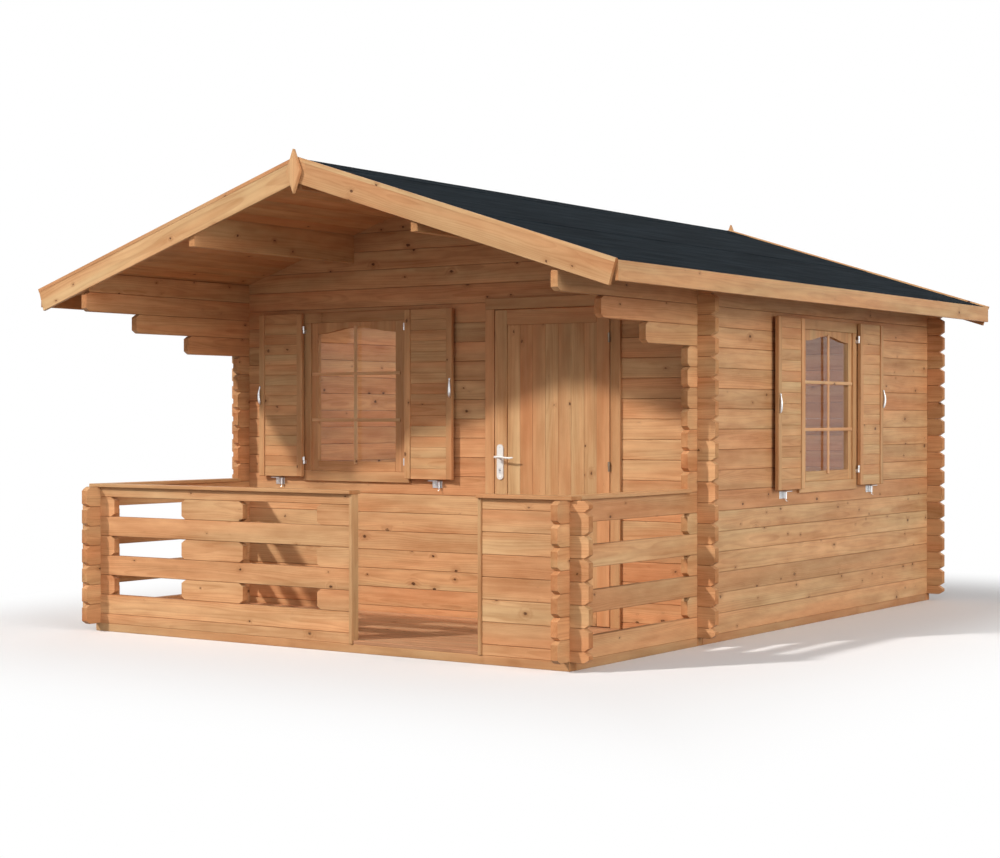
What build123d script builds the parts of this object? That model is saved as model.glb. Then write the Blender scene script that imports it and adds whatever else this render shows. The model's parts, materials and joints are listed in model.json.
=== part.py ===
from build123d import *
import math
import os

# Log cabin with a covered veranda: one room of stacked, notched logs under a felted gable roof.
# Millimetres, X to the right, Y to the back, Z up. The origin is on the ground, under the
# middle of the whole building.

# Logs
log_height = 114.0
log_thick = 40.0
corner_overhang = 110.0
log_end_flat_length = 30.0
log_end_flat_height = 19.0
log_bevel = 3.5
notch_share = 0.25
fit_gap = 0.3

# Plan
cabin_width = 3300.0
room_depth = 3300.0
veranda_depth = 1300.0

# Base and floors
base_height = 46.0
bearer_width = 60.0
joist_bays = 4
floor_thick = 20.0

# Wall heights are counted in logs. The log under the eaves is cut by the roof.
side_courses = 17
eave_log_share = 0.925
smallest_log_share = 0.2
corbel_shares = (0.397, 0.713, 1.0, 1.0)

# Railings
rail_courses = 7
entrance_from_right = 548.0
entrance_width = 817.0
post_thick = 21.0
post_width = 60.0
cap_width = 96.0
cap_thick = 20.0
corner_block_length = 264.0
middle_block_length = 464.0
end_block_length = 225.0

# Roof
roof_pitch = 17.67
eave_overhang = 325.0
back_overhang = 197.0
roof_board_thick = 18.0
felt_thick = 4.0
purlin_thick = 44.0
purlin_offset = 775.0
purlin_height = 165.0
ridge_purlin_height = 145.0
barge_thick = 20.0
barge_width = 135.0
barge_lip = 7.5
strip_width = 20.0
strip_thick = 8.0
fascia_thick = 18.0
fascia_height = 100.0
finial_height = 245.0
finial_width = 97.0
finial_thick = 26.0
finial_rise = 41.0

# Door
door_from_right = 942.0
door_width = 783.0
door_top = 1878.0
door_bottom = 72.0
door_thick = 40.0
door_clearance = 5.0
door_stile = 85.0
door_top_rail = 88.0
door_bottom_rail = 120.0
panel_recess = 8.0
casing_width = 64.0
casing_thick = 18.0
liner_thick = 20.0
stop_thick = 12.0
stop_depth = 15.0
plate_width = 43.0
plate_height = 205.0
plate_thick = 8.0
plate_inset = 41.0
plate_below_spindle = 130.0
spindle_height = 1020.0
spindle_radius = 5.0
lever_neck_radius = 9.0
lever_neck_length = 46.0
lever_length = 118.0
lever_height = 16.0
lever_thick = 11.0
round_end_share = 0.45

# Windows: one in the front wall and one, half a log lower, in the right wall
window_from_left = 920.5
window_width = 835.0
window_bottom = 857.0
window_height = 1048.0
sash_thick = 34.0
sash_side = 48.0
sash_bottom = 61.0
sash_top = 31.0
sash_arch = 36.0
glass_thick = 4.0
glass_bite = 8.0
window_setback = 12.0

# Shutters
shutter_width = 352.0
shutter_height = 1020.0
shutter_thick = 25.0
shutter_lift = 25.0
shutter_axis_inset = 23.0
shutter_clearance = 6.0
shutter_stile = 42.0
shutter_recess = 7.0
hold_back_width = 70.0
hold_back_height = 46.0
hold_back_thick = 4.0
hold_back_from_edge = 137.0
latch_width = 16.0
latch_height = 110.0
latch_thick = 9.0
latch_from_edge = 14.0
right_latch_raise = 36.0

# Hinges: the pin half stands on the frame, the eye half hangs on the leaf
hinge_radius = 6.0
hinge_pin_radius = 3.5
hinge_running_gap = 0.1
hinge_plate_width = 9.0
hinge_plate_thick = 2.5
door_hinge_half = 27.0
door_hinge_inset = 176.0
shutter_hinge_half = 22.0
shutter_hinge_inset = 102.0

# Places worked out from the sizes above
half_width = cabin_width / 2
door_center = half_width - door_from_right
window_center = window_from_left - half_width
entrance_right = half_width - entrance_from_right
entrance_left = entrance_right - entrance_width
front_y = (veranda_depth + corner_overhang - room_depth - back_overhang) / 2
back_y = front_y + room_depth
rail_y = front_y - veranda_depth
roof_front_y = rail_y - corner_overhang
roof_back_y = back_y + back_overhang
half_log = log_height / 2
notch_depth = log_height * notch_share
front_line = front_y + log_thick / 2
back_line = back_y - log_thick / 2
rail_line = rail_y + log_thick / 2
side_line = half_width - log_thick / 2
log_reach = half_width + corner_overhang
floor_top = base_height + floor_thick
rail_top = base_height + rail_courses * log_height
slope = math.tan(math.radians(roof_pitch))
incline = 1 / math.cos(math.radians(roof_pitch))
eave_under = base_height + (side_courses + eave_log_share) * log_height
ridge_under = eave_under + half_width * slope
roof_half = half_width + eave_overhang
felt_under = ridge_under + roof_board_thick * incline
felt_over = felt_under + felt_thick * incline
barge_over = felt_over + barge_lip * incline

os.makedirs("parts", exist_ok=True)


def block(corner, opposite):
    """A box between two opposite corners, given in either order."""
    low = [min(pair) for pair in zip(corner, opposite)]
    size = [abs(one - other) for one, other in zip(corner, opposite)]
    return Pos(*low) * Box(*size, align=(Align.MIN, Align.MIN, Align.MIN))


def rod(radius, length):
    """An upright round rod that stands on the origin."""
    return Cylinder(radius, length, align=(Align.CENTER, Align.CENTER, Align.MIN))


def slab_between(points, one_y, other_y):
    """An outline of (x, z) points, drawn from the front and carried from one depth to the other."""
    near, far = sorted((one_y, other_y))
    outline = make_face(Polyline(*[(x, near, z) for x, z in points], close=True))
    return extrude(outline, amount=far - near, dir=(0, 1, 0))


def save(name, *shapes):
    """Writes the separate solids of one piece or group of like pieces."""
    solids = [solid for shape in shapes for solid in shape.solids()]
    piece = solids[0] if len(solids) == 1 else Compound(solids)
    export_step(piece, "parts/" + name + ".step")


def roof_under(x):
    """Height of the roof boards' lower face."""
    return ridge_under - abs(x) * slope


def end_cut(tip, inner, edge, rise):
    """The corner that is sawn off a log's end, seen from the side."""
    return make_face(Polyline((tip, edge), (inner, edge), (tip, rise), close=True))


def log_piece(start, end, bottom, top, low_notches, high_notches, cut_start=True, cut_end=True):
    """A log along X, notched under and over the logs that cross it, with sawn-off end corners."""
    corner = (Align.MIN, Align.MIN)
    upper = top - fit_gap
    outline = Pos(start, bottom) * Rectangle(end - start, upper - bottom, align=corner)
    notch_width = log_thick + 2 * fit_gap
    for place in low_notches:
        low = Pos(place - notch_width / 2, bottom)
        outline -= low * Rectangle(notch_width, notch_depth, align=corner)
    for place in high_notches:
        high = Pos(place - notch_width / 2, upper - notch_depth)
        outline -= high * Rectangle(notch_width, notch_depth, align=corner)
    cuts = []
    if cut_start:
        cuts.append((start, start + log_end_flat_length))
    if cut_end:
        cuts.append((end, end - log_end_flat_length))
    for tip, inner in cuts:
        outline -= end_cut(tip, inner, bottom, bottom + log_end_flat_height)
        outline -= end_cut(tip, inner, upper, upper - log_end_flat_height)
    body = extrude(Plane.XZ * outline, amount=log_thick / 2, both=True)
    side = log_thick / 2
    edge = side - log_bevel
    half_section = [(edge, bottom), (side, bottom + log_bevel), (side, upper - log_bevel), (edge, upper)]
    section = half_section + [(-y, z) for y, z in reversed(half_section)]
    prism = make_face(Polyline(*[(start, y, z) for y, z in section], close=True))
    return body & extrude(prism, amount=end - start, dir=(1, 0, 0))


def along_x(log, line):
    """Lays a log across the building, over its centre line."""
    return Pos(0, line, 0) * log


def along_y(log, line):
    """Lays a log from front to back, over its centre line."""
    return Pos(line, 0, 0) * Rot(0, 0, 90) * log


# Base: cross bearers under the front rail, the front wall and the back wall, with joists between
bearer_places = (rail_y, front_y, back_y - bearer_width)
bearers = []
for place in bearer_places:
    bearers.append(block((-half_width, place, 0), (half_width, place + bearer_width, base_height)))
save("base_bearers", *bearers)

joists = []
joist_pitch = (cabin_width - bearer_width) / joist_bays
for near, far in zip(bearer_places, bearer_places[1:]):
    for bay in range(joist_bays + 1):
        left = -half_width + bay * joist_pitch
        joists.append(block((left, near + bearer_width, 0), (left + bearer_width, far, base_height)))
save("base_joists", *joists)

# Floors: the veranda's boards run out to the front edge between the entrance posts
inside = half_width - log_thick - fit_gap
room_floor = block((-inside, front_y + log_thick + fit_gap, base_height),
                   (inside, back_y - log_thick - fit_gap, floor_top))
save("room_floor", room_floor)
deck = block((-inside, rail_y + log_thick + fit_gap, base_height), (inside, front_y - fit_gap, floor_top))
step_left = entrance_left + fit_gap
step_right = entrance_right - fit_gap
step_back = rail_y + log_thick + (post_width - log_thick) / 2 + fit_gap
deck -= block((-inside, rail_y, base_height), (step_left, step_back, floor_top))
deck -= block((step_right, rail_y, base_height), (inside, step_back, floor_top))
deck += block((step_left, rail_y, base_height), (step_right, step_back + floor_thick, floor_top))
save("veranda_floor", deck)

# Roof timbers: a ridge purlin and two side purlins, cut to the slope of the boards they carry
purlins = []
purlin_rows = ((-purlin_offset, purlin_height), (0, ridge_purlin_height), (purlin_offset, purlin_height))
for middle, height in purlin_rows:
    left = middle - purlin_thick / 2
    right = middle + purlin_thick / 2
    foot = roof_under(middle) - height
    outline = [(left, foot), (right, foot), (right, roof_under(right)), (left, roof_under(left))]
    if middle == 0:
        outline.insert(3, (middle, ridge_under))
    purlins.append(slab_between(outline, roof_front_y, roof_back_y))
save("roof_purlins", *purlins)


def purlin_slots():
    """The room that the gable logs leave for the purlins."""
    slots = []
    for middle, height in purlin_rows:
        reach = purlin_thick / 2 + fit_gap
        low = (middle - reach, roof_front_y, roof_under(middle) - height - fit_gap)
        high = (middle + reach, roof_back_y, ridge_under + log_height)
        slots.append(block(low, high))
    return slots


below_roof = slab_between(
    [(-roof_half, 0), (roof_half, 0), (roof_half, roof_under(roof_half) - fit_gap),
     (0, ridge_under - fit_gap), (-roof_half, roof_under(roof_half) - fit_gap)],
    roof_front_y - barge_thick, roof_back_y + barge_thick)

# Openings that the frames line in the walls
door_half = door_width / 2 + door_clearance
door_opening_half = door_half + liner_thick
door_head_course = math.ceil((door_top + door_clearance - base_height - half_log) / log_height)
door_opening_top = base_height + half_log + door_head_course * log_height
window_inner_half = window_width / 2 - casing_width
window_opening_half = window_inner_half + liner_thick
window_sill_course = math.floor((window_bottom + casing_width - base_height - half_log) / log_height)
window_opening_bottom = base_height + half_log + window_sill_course * log_height
window_inner_bottom = window_bottom + casing_width
window_inner_top = window_bottom + window_height - casing_width
window_opening_top = window_inner_top + liner_thick
side_window_center = front_y + room_depth / 2
side_drop = half_log


def cross_wall(line, holes):
    """A wall across the building: a half log on the base, then logs up into the gable."""
    pieces = []
    bottom = base_height
    top = base_height + half_log
    first = True
    while bottom < ridge_under - log_height * smallest_log_share:
        crossings = [-side_line, side_line]
        low_notches = [] if first or bottom > eave_under else crossings
        high_notches = crossings if top < eave_under else []
        log = along_x(log_piece(-log_reach, log_reach, bottom, top, low_notches, high_notches), line)
        if top > roof_under(log_reach):
            log = log & below_roof
            for slot in purlin_slots():
                log -= slot
        for hole in holes:
            log -= hole
        pieces.extend(log.solids())
        bottom = top
        top = bottom + log_height
        first = False
    return pieces


door_hole = block((door_center - door_opening_half - fit_gap, front_y - log_thick, base_height),
                  (door_center + door_opening_half + fit_gap, front_y + 2 * log_thick, door_opening_top))
window_hole = block(
    (window_center - window_opening_half - fit_gap, front_y - log_thick, window_opening_bottom - fit_gap),
    (window_center + window_opening_half + fit_gap, front_y + 2 * log_thick, window_opening_top + fit_gap))
save("front_wall", *cross_wall(front_line, [door_hole, window_hole]))
save("back_wall", *cross_wall(back_line, []))


def side_wall(side, holes):
    """A wall from front to back: every second low log runs on as railing, the top ones as corbels."""
    pieces = []
    back_end = back_y + corner_overhang
    full_reach = front_y - roof_front_y
    first_corbel = side_courses + 1 - len(corbel_shares)
    for course in range(side_courses + 1):
        bottom = base_height + course * log_height
        top = bottom + log_height
        crossings = [front_line, back_line]
        front_end = front_y - corner_overhang
        if course < rail_courses and course % 2 == 0:
            front_end = roof_front_y
            crossings = [rail_line, front_line, back_line]
        if course >= first_corbel:
            front_end = front_y - full_reach * corbel_shares[course - first_corbel]
        log = along_y(log_piece(front_end, back_end, bottom, top, crossings, crossings), side * side_line)
        if top > eave_under:
            log = log & below_roof
        for hole in holes:
            log -= hole
        pieces.extend(log.solids())
    return pieces


side_hole = block(
    (half_width - 2 * log_thick, side_window_center - window_opening_half - fit_gap,
     window_opening_bottom - side_drop - fit_gap),
    (half_width + log_thick, side_window_center + window_opening_half + fit_gap,
     window_opening_top - side_drop + fit_gap))
save("left_wall", *side_wall(-1, []))
save("right_wall", *side_wall(1, [side_hole]))


# Front railings: closed with logs right of the entrance, open between blocks on the left
def rail_row(course):
    """Bottom and top of a front railing's course: half logs below and above, whole ones between."""
    bottom = base_height if course == 0 else base_height + half_log + (course - 1) * log_height
    top = min(base_height + half_log + course * log_height, rail_top)
    return bottom, top


left_rail = []
right_rail = []
rail_left_end = entrance_left - post_thick - fit_gap
rail_right_end = entrance_right + post_thick + fit_gap
open_left = -log_reach + corner_block_length
open_right = rail_left_end - end_block_length
middle_block = (open_left + open_right) / 2
for course in range(rail_courses + 1):
    bottom, top = rail_row(course)
    lowest = course == 0
    highest = course == rail_courses
    left_low = [] if lowest else [-side_line]
    left_high = [] if highest else [-side_line]
    right_low = [] if lowest else [side_line]
    right_high = [] if highest else [side_line]
    closed = log_piece(rail_right_end, log_reach, bottom, top, right_low, right_high, cut_start=False)
    right_rail.append(along_x(closed, rail_line))
    if course % 2 == 1 or lowest:
        rail = log_piece(-log_reach, rail_left_end, bottom, top, left_low, left_high, cut_end=False)
        left_rail.append(along_x(rail, rail_line))
        continue
    corner_block = log_piece(-log_reach, open_left, bottom, top, left_low, left_high)
    middle_low = middle_block - middle_block_length / 2
    spacer = log_piece(middle_low, middle_low + middle_block_length, bottom, top, [], [])
    end_block = log_piece(open_right, rail_left_end, bottom, top, [], [], cut_end=False)
    left_rail.extend(along_x(piece, rail_line) for piece in (corner_block, spacer, end_block))
save("front_left_rail", *left_rail)
save("front_right_rail", *right_rail)

side_blocks = []
for side in (-1, 1):
    for course in range(1, rail_courses, 2):
        bottom = base_height + course * log_height
        piece = log_piece(roof_front_y, roof_front_y + corner_block_length, bottom, bottom + log_height,
                          [rail_line], [rail_line])
        side_blocks.append(along_y(piece, side * side_line))
save("side_rail_blocks", *side_blocks)

# Entrance posts close the railings' ends, and cap boards lie on top
posts = []
post_front = rail_line - post_width / 2
post_top = rail_top - fit_gap
for near in (entrance_left - post_thick, entrance_right):
    posts.append(block((near, post_front, base_height),
                       (near + post_thick, post_front + post_width, post_top)))
save("entrance_posts", *posts)

caps = []
cap_front = rail_line - cap_width / 2
cap_side = side_line + cap_width / 2
cap_low = rail_top
cap_high = rail_top + cap_thick
for near, far in ((-cap_side, entrance_left), (entrance_right, cap_side)):
    caps.append(block((near, cap_front, cap_low), (far, cap_front + cap_width, cap_high)))
for side in (-1, 1):
    near = side * side_line - cap_width / 2
    caps.append(block((near, cap_front + cap_width + fit_gap, cap_low),
                      (near + cap_width, front_y - corner_overhang - fit_gap, cap_high)))
save("rail_caps", *caps)


# Roof skin: boards from ridge to eave, felt over them
def roof_sheet(side, under, thick):
    """One slope of an even layer, from the ridge to the eave."""
    rise = thick * incline
    ridge = side * fit_gap / 2
    eave = side * roof_half
    foot = under - roof_half * slope
    points = [(ridge, under), (eave, foot), (eave, foot + rise), (ridge, under + rise)]
    return slab_between(points, roof_front_y, roof_back_y)


for side, name in ((-1, "left"), (1, "right")):
    save(name + "_roof_boards", roof_sheet(side, ridge_under, roof_board_thick))
    save(name + "_roof_felt", roof_sheet(side, felt_under, felt_thick))

# Barge boards cover the ends of the roof, with a strip along the upper edge and a diamond at the ridge
tilt = math.radians(roof_pitch)
finial_middle = barge_over + finial_rise - finial_height / 2
barge_reach = (roof_half + fascia_thick) * incline
finial_points = [(0, finial_middle - finial_height / 2), (finial_width / 2, finial_middle),
                 (0, finial_middle + finial_height / 2), (-finial_width / 2, finial_middle)]


def gable_board(side, over, width, reach, one_y, other_y):
    """A board along one slope of a gable, plumb at the ridge and cut square at the eave."""
    ridge = side * fit_gap / 2
    end = (side * reach * math.cos(tilt), over - reach * math.sin(tilt))
    foot = (end[0] - side * width * math.sin(tilt), end[1] - width * math.cos(tilt))
    points = [(ridge, over), end, foot, (ridge, over - width * incline)]
    return slab_between(points, one_y, other_y)


gable_faces = ((roof_front_y, -1), (roof_back_y, 1))
strips = []
finials = []
for face, way in gable_faces:
    outer = face + way * barge_thick
    finial = slab_between(finial_points, outer, outer + way * finial_thick)
    finials.append(finial)
    proud = outer + way * strip_thick
    for side in (-1, 1):
        strip = gable_board(side, barge_over, strip_width, barge_reach, outer, proud)
        strips.append(strip - finial)
save("barge_strips", *strips)
save("ridge_finials", *finials)
for side, name in ((-1, "left"), (1, "right")):
    boards = []
    for face, way in gable_faces:
        outer = face + way * barge_thick
        boards.append(gable_board(side, barge_over, barge_width, barge_reach, face, outer))
    save(name + "_barge_boards", *boards)

# Eave fascias close the lower edges of the roof between the barge boards
fascias = []
fascia_top = felt_under - roof_half * slope
for side in (-1, 1):
    fascias.append(block((side * roof_half, roof_front_y, fascia_top - fascia_height),
                         (side * (roof_half + fascia_thick), roof_back_y, fascia_top)))
save("eave_fascias", *fascias)

# Frames: a U of casing, liner and casing that grips the ends of the logs
grip_front = front_y - casing_thick
grip_back = front_y + log_thick + casing_thick


def wall_slot(corner, opposite):
    """The room for the front wall's logs between two (x, z) corners."""
    return block((corner[0], front_y - fit_gap, corner[1]),
                 (opposite[0], front_y + log_thick + fit_gap, opposite[1]))


def grip(corner, opposite, slot_corner, slot_opposite):
    """A frame member with a slot for the wall between its two casings."""
    member = block((corner[0], grip_front, corner[1]), (opposite[0], grip_back, opposite[1]))
    return member - wall_slot(slot_corner, slot_opposite)


# Door frame: jambs with stops, a head over them and a sill between them
leaf_front = grip_front
leaf_back = leaf_front + door_thick
stop_front = leaf_back + door_clearance
door_inner_top = door_top + door_clearance
casing_top = door_inner_top + casing_width
sill_top = door_bottom - door_clearance
jambs = []
for side in (-1, 1):
    inner = door_center + side * door_half
    outer = inner + side * casing_width
    liner = inner + side * liner_thick
    jamb = grip((inner, floor_top), (outer, door_inner_top), (liner, floor_top), (outer, door_inner_top))
    jamb += block((inner, stop_front, sill_top + fit_gap),
                  (inner - side * stop_thick, stop_front + stop_depth, door_inner_top))
    jambs.append(jamb)
save("door_jambs", *jambs)
frame_half = door_half + casing_width
head = grip((door_center - frame_half, door_inner_top + fit_gap), (door_center + frame_half, casing_top),
            (door_center - frame_half, door_opening_top - fit_gap), (door_center + frame_half, casing_top))
for side in (-1, 1):
    near = door_center + side * door_opening_half
    far = door_center + side * frame_half
    head -= wall_slot((near, door_inner_top), (far, casing_top))
save("door_head", head)
sill = block((door_center - door_half + fit_gap, front_y, base_height),
             (door_center + door_half - fit_gap, front_y + log_thick, sill_top))
save("door_sill", sill)


# Hinges with an upright pin. The axis lies over the origin, the frame at +X, the leaf at -X
def hinge_halves(frame_gap, leaf_gap, plate_face):
    """The pin half on the frame's face and the eye half on the leaf's face, in one upright hinge."""
    fixed = rod(hinge_radius, door_hinge_half) + rod(hinge_pin_radius, 2 * door_hinge_half)
    fixed += block((frame_gap, plate_face - hinge_plate_thick, 0),
                   (frame_gap + hinge_plate_width, plate_face, door_hinge_half))
    fixed += block((0, -hinge_radius, 0), (frame_gap + hinge_plate_thick, plate_face, door_hinge_half))
    lift = door_hinge_half + fit_gap
    eye_top = lift + door_hinge_half
    eye = Pos(0, 0, lift) * rod(hinge_radius, door_hinge_half)
    eye += block((-leaf_gap - hinge_plate_width, plate_face - hinge_plate_thick, lift),
                 (-leaf_gap, plate_face, eye_top))
    eye += block((-leaf_gap - hinge_plate_thick, -hinge_radius, lift), (0, plate_face, eye_top))
    eye -= Pos(0, 0, lift) * rod(hinge_pin_radius + hinge_running_gap, door_hinge_half)
    return fixed, eye


# Door: a framed leaf of upright boards, hung on the right, with a plate and lever on both faces
leaf_left = door_center - door_width / 2
leaf_right = door_center + door_width / 2
door_axis_x = door_center + door_width / 2 + door_clearance / 2
door_axis_y = leaf_front - hinge_radius - hinge_plate_thick
spindle_x = leaf_left + plate_inset
leaf = block((leaf_left, leaf_front, door_bottom), (leaf_right, leaf_back, door_top))
field_low = (leaf_left + door_stile, door_bottom + door_bottom_rail)
field_high = (leaf_right - door_stile, door_top - door_top_rail)
for near, far in ((leaf_front, leaf_front + panel_recess), (leaf_back - panel_recess, leaf_back)):
    leaf -= block((field_low[0], near, field_low[1]), (field_high[0], far, field_high[1]))
spindle_hole = spindle_radius + fit_gap


def spindle_rod(start, end, radius):
    """A round rod on the lever's axis, through the leaf."""
    return Pos(spindle_x, min(start, end), spindle_height) * Rot(-90, 0, 0) * rod(radius, abs(end - start))


save("door_leaf", leaf - spindle_rod(leaf_front, leaf_back, spindle_hole))

plates = []
plate_low = spindle_height - plate_below_spindle
for near in (leaf_front - plate_thick, leaf_back):
    far = near + plate_thick
    plate = block((spindle_x - plate_width / 2, near, plate_low),
                  (spindle_x + plate_width / 2, far, plate_low + plate_height))
    plate = fillet(plate.edges().filter_by(Axis.Y), plate_width * round_end_share)
    plates.append(plate - spindle_rod(near, far, spindle_hole))
save("door_plates", *plates)

neck_out = leaf_front - plate_thick - fit_gap
neck_in = leaf_back + plate_thick + fit_gap
lever = spindle_rod(neck_out, neck_in, spindle_radius)
for start, way in ((neck_out, -1), (neck_in, 1)):
    tip = start + way * lever_neck_length
    lever += spindle_rod(start, tip, lever_neck_radius)
    arm = block((spindle_x - lever_neck_radius, tip - way * lever_thick, spindle_height - lever_height / 2),
                (spindle_x + lever_length, tip, spindle_height + lever_height / 2))
    lever += fillet(arm.edges().filter_by(Axis.Y), lever_height * round_end_share)
save("door_lever", lever)

door_pins = []
door_eyes = []
door_hinge_heights = (door_bottom + door_hinge_inset, (door_bottom + door_top) / 2,
                      door_top - door_hinge_inset)
for height in door_hinge_heights:
    fixed, eye = hinge_halves(door_clearance / 2, door_clearance / 2, hinge_radius + hinge_plate_thick)
    place = Pos(door_axis_x, door_axis_y, height - door_hinge_half)
    door_pins.append(place * fixed)
    door_eyes.append(place * eye)
save("door_hinge_pins", *door_pins)
save("door_hinge_eyes", *door_eyes)

# Windows and shutters are drawn in the front wall, about their own centre, and the side set is turned
front_place = Pos(window_center, 0, 0)
side_place = Pos(half_width, side_window_center, -side_drop) * Rot(0, 0, 90) * Pos(0, -front_y, 0)
window_places = (front_place, side_place)
window_top = window_bottom + window_height

window_jambs = []
window_rails = []
outer_half = window_width / 2
for side in (-1, 1):
    inner = side * window_inner_half
    outer = side * outer_half
    liner = side * window_opening_half
    window_jambs.append(grip((inner, window_inner_bottom), (outer, window_inner_top),
                             (liner, window_inner_bottom), (outer, window_inner_top)))
sill_rail = grip((-outer_half, window_bottom), (outer_half, window_inner_bottom - fit_gap),
                 (-outer_half, window_bottom), (outer_half, window_opening_bottom))
head_rail = grip((-outer_half, window_inner_top + fit_gap), (outer_half, window_top),
                 (-outer_half, window_opening_top), (outer_half, window_top))
for side in (-1, 1):
    notch = wall_slot((side * window_opening_half, window_bottom), (side * outer_half, window_top))
    sill_rail -= notch
    head_rail -= notch
window_rails.extend([sill_rail, head_rail])
save("window_jambs", *[place * jamb for place in window_places for jamb in window_jambs])
save("window_rails", *[place * rail for place in window_places for rail in window_rails])

# One sash in each window, its head cut to an ogee, with a single pane let into a groove
sash_front = front_y + window_setback - casing_thick
sash_back = sash_front + sash_thick
sash_low = window_inner_bottom + fit_gap
sash_high = window_inner_top - fit_gap
sash_outer = window_inner_half - fit_gap
light_half = sash_outer - sash_side
light_top = sash_high - sash_top
glass_front = (sash_front + sash_back - glass_thick) / 2


def light(grow):
    """The sight size under the ogee head, grown by a rebate."""
    wide = light_half + grow
    low = sash_low + sash_bottom - grow
    left = (-wide, light_top - sash_arch + grow)
    right = (wide, light_top - sash_arch + grow)
    level = (1, 0)
    head = Spline(left, (0, light_top + grow), right, tangents=(level, level, level))
    return make_face(head + Polyline(right, (wide, low), (-wide, low), left))


def light_block(grow):
    """The light as a solid through the wall."""
    return Pos(0, front_y, 0) * extrude(Plane.XZ * light(grow), amount=sash_thick, both=True)


seat = block((-sash_outer, glass_front, sash_low), (sash_outer, glass_front + glass_thick, sash_high))
pane = light_block(glass_bite) & seat
sash = block((-sash_outer, sash_front, sash_low), (sash_outer, sash_back, sash_high)) - light_block(0) - pane
save("window_sashes", *[place * sash for place in window_places])
save("window_glass", *[place * pane for place in window_places])

# Shutters, open against the wall, each on two hinges with a latch on its free stile
shutter_back = grip_front - shutter_clearance
shutter_front = shutter_back - shutter_thick
shutter_low = window_bottom + shutter_lift
shutter_high = shutter_low + shutter_height
axis_offset = outer_half - shutter_axis_inset
axis_y = (shutter_front + shutter_back) / 2
shutter_edge = hinge_radius + hinge_plate_thick
hinge_lows = (shutter_low + shutter_hinge_inset - shutter_hinge_half,
              shutter_high - shutter_hinge_inset - shutter_hinge_half)
latch_low = (shutter_low + shutter_high - latch_height) / 2
pin_halves = []
holders = []
shutter_names = (("front_left", "front_right"), ("side_front", "side_back"))
for place, names in zip(window_places, shutter_names):
    for side, name in zip((-1, 1), names):
        axis = side * axis_offset
        near = axis + side * shutter_edge
        far = near + side * shutter_width
        panel = block((near, shutter_front, shutter_low), (far, shutter_back, shutter_high))
        panel -= block((near + side * shutter_stile, shutter_front, shutter_low),
                       (far - side * shutter_stile, shutter_front + shutter_recess, shutter_high))
        save(name + "_shutter", place * panel)
        iron = []
        for low in hinge_lows:
            high = low + shutter_hinge_half
            lift = high + fit_gap
            eye = Pos(axis, axis_y, lift) * rod(hinge_radius, shutter_hinge_half)
            eye += block((axis, axis_y - hinge_radius, lift),
                         (near, axis_y + hinge_radius, lift + shutter_hinge_half))
            eye -= Pos(axis, axis_y, lift) * rod(hinge_pin_radius + hinge_running_gap, shutter_hinge_half)
            iron.append(eye)
            foot = Pos(axis, axis_y, low) * rod(hinge_radius, shutter_hinge_half)
            foot += Pos(axis, axis_y, low) * rod(hinge_pin_radius, 2 * shutter_hinge_half)
            foot += block((axis - hinge_radius, axis_y, low), (axis + hinge_radius, grip_front, high))
            foot += block((axis, grip_front - hinge_plate_thick, low),
                          (axis - side * hinge_plate_width, grip_front, high))
            pin_halves.append(place * foot)
        latch_x = far - side * latch_from_edge
        latch_foot = latch_low + max(side, 0) * right_latch_raise
        latch = block((latch_x - latch_width / 2, shutter_front - latch_thick, latch_foot),
                      (latch_x + latch_width / 2, shutter_front, latch_foot + latch_height))
        iron.append(fillet(latch.edges().filter_by(Axis.Y), latch_width * round_end_share))
        save(name + "_shutter_iron", *[place * part for part in iron])
        hold_left = far - side * hold_back_from_edge - hold_back_width / 2
        hold_right = hold_left + hold_back_width
        hold_top = shutter_low - shutter_clearance
        holder = block((hold_left, front_y - hold_back_thick, hold_top - hold_back_height),
                       (hold_right, front_y, hold_top))
        holder += block((hold_left, shutter_front - hold_back_thick, hold_top - hold_back_thick),
                        (hold_right, front_y, hold_top))
        holders.append(place * holder)
save("shutter_hinge_pins", *pin_halves)
save("shutter_hold_backs", *holders)
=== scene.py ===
import json
import math
import random

import bmesh
import bpy
from mathutils import Matrix, Vector


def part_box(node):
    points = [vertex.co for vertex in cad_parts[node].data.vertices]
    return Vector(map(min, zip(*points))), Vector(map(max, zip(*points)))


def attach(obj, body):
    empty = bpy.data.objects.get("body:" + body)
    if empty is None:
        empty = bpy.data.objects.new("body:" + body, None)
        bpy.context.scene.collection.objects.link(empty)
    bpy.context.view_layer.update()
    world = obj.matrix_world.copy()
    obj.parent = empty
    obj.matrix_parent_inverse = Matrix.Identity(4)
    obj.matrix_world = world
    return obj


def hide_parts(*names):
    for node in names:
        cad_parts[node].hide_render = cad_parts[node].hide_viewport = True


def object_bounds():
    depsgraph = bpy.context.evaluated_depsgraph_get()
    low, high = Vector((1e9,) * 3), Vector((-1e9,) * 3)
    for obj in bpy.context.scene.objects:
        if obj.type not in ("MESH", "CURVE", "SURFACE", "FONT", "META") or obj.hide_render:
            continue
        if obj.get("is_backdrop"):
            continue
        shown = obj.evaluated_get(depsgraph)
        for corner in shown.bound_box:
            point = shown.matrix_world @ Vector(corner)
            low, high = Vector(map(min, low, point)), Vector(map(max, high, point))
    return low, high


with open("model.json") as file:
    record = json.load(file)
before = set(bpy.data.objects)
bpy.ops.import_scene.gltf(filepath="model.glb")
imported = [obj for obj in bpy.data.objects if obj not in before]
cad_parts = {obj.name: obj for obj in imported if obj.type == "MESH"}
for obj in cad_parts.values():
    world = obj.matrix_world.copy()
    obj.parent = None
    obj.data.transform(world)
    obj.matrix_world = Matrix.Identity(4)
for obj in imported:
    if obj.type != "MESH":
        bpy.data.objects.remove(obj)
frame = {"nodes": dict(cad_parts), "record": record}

cad_low, cad_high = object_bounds()


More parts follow.
